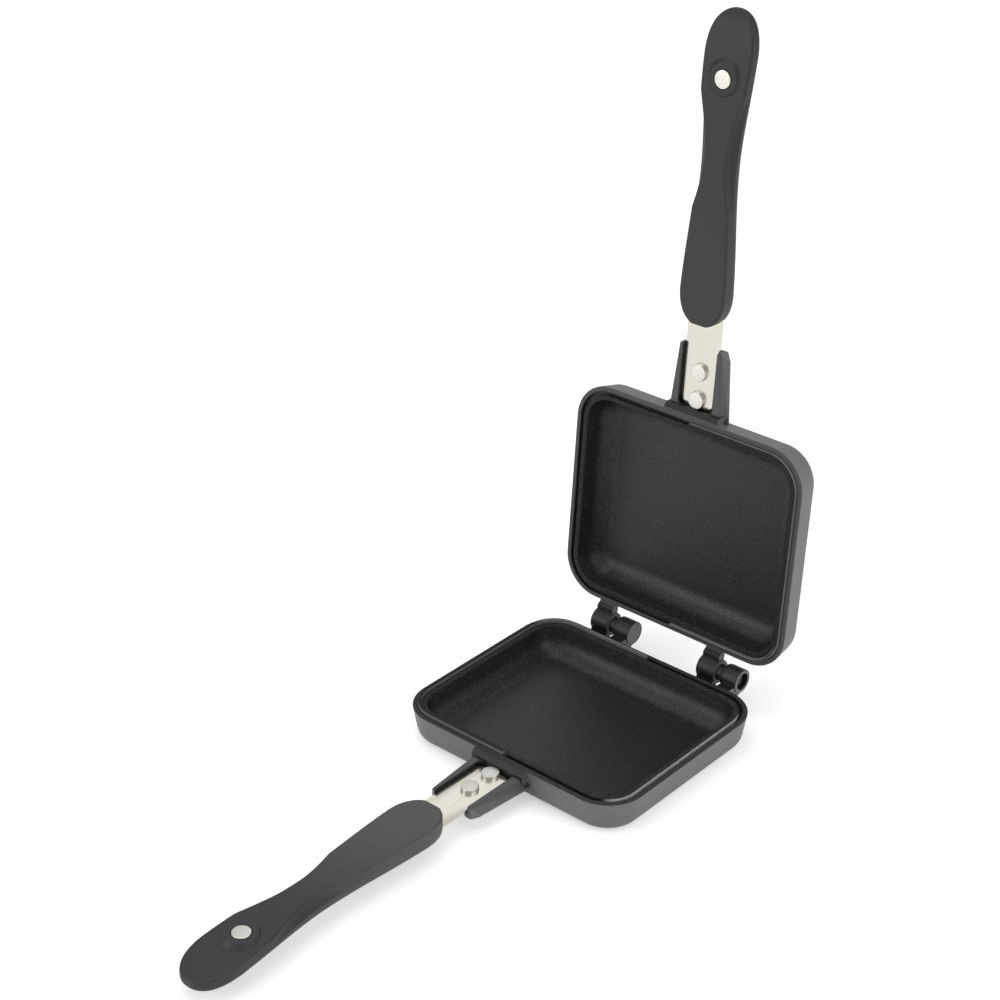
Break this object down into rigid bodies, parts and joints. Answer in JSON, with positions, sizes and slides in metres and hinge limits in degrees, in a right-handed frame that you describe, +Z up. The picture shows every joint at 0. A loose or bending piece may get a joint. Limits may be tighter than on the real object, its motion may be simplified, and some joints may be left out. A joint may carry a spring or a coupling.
{
  "type": "pie iron",
  "caption": "Hinged pan pair for toasting filled sandwiches over a hob, with riveted strap handles and long moulded grips, standing open on its stops.",
  "frame": {"origin": "middle of the lower pan's flat underside", "axes": "+X along the hinge axis, +Y from the handle towards the hinge, +Z up out of the lower pan"},
  "size_m": [0.1358, 0.3627, 0.3385],
  "materials": {
    "cast": "non-stick coated",
    "strap": "brushed",
    "grip": "matte",
    "rivet": "satin"
  },
  "bodies": {
    "lower": {"lower_pan": "cast", "lower_strap": "strap", "lower_grip": "grip", "lower_strap_rivet_rear": "rivet", "lower_strap_rivet_front": "rivet", "lower_grip_rivet": "rivet"},
    "upper": {"upper_pan": "cast", "upper_strap": "strap", "upper_grip": "grip", "upper_strap_rivet_rear": "rivet", "upper_strap_rivet_front": "rivet", "upper_grip_rivet": "rivet"}
  },
  "joints": [
    {"name": "hinge", "type": "hinge", "parent": "lower", "child": "upper", "pos_m": [0, 0.0685, 0.018], "axis": [1, 0, 0], "range_deg": [0, 95]}
  ]
}
